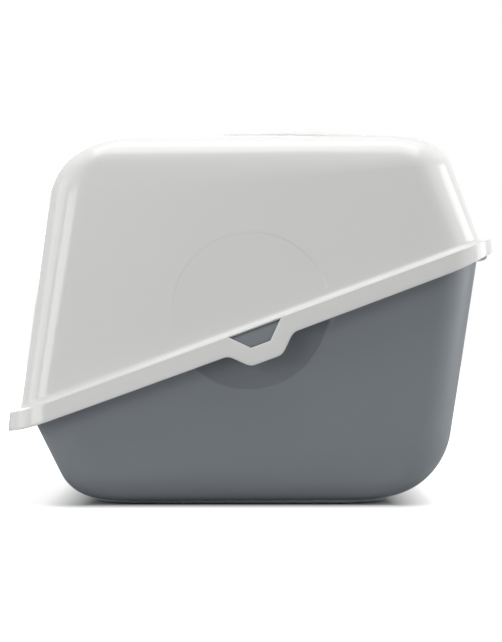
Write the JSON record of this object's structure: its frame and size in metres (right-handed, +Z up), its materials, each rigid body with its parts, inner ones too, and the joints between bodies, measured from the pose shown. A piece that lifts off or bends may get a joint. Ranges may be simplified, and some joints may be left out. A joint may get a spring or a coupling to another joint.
{
  "type": "top entry litter box",
  "caption": "Top entry litter box: glossy hood with a round way in through its roof, hinged at the back on a deep tray, with finger loops on the sloping rim.",
  "frame": {"origin": "middle of the box on the floor that it stands on", "axes": "+X towards the high back of the rim, +Z up, symmetric about Y = 0"},
  "size_m": [0.524, 0.4044, 0.4085],
  "materials": {
    "tray": "fine matte, cool grey",
    "hood": "glossy white",
    "collar": "glossy white",
    "pads": "matte dark rubber"
  },
  "bodies": {
    "tray": {"base_tray": "tray", "foot_front_left": "pads", "foot_front_right": "pads", "foot_rear_left": "pads", "foot_rear_right": "pads"},
    "hood": {"hood": "hood", "entry_collar": "collar"}
  },
  "joints": [
    {"name": "hood_tilt", "type": "hinge", "parent": "tray", "child": "hood", "pos_m": [0.2545, 0, 0.27082], "axis": [0, 1, 0], "range_deg": [0, 95]}
  ]
}
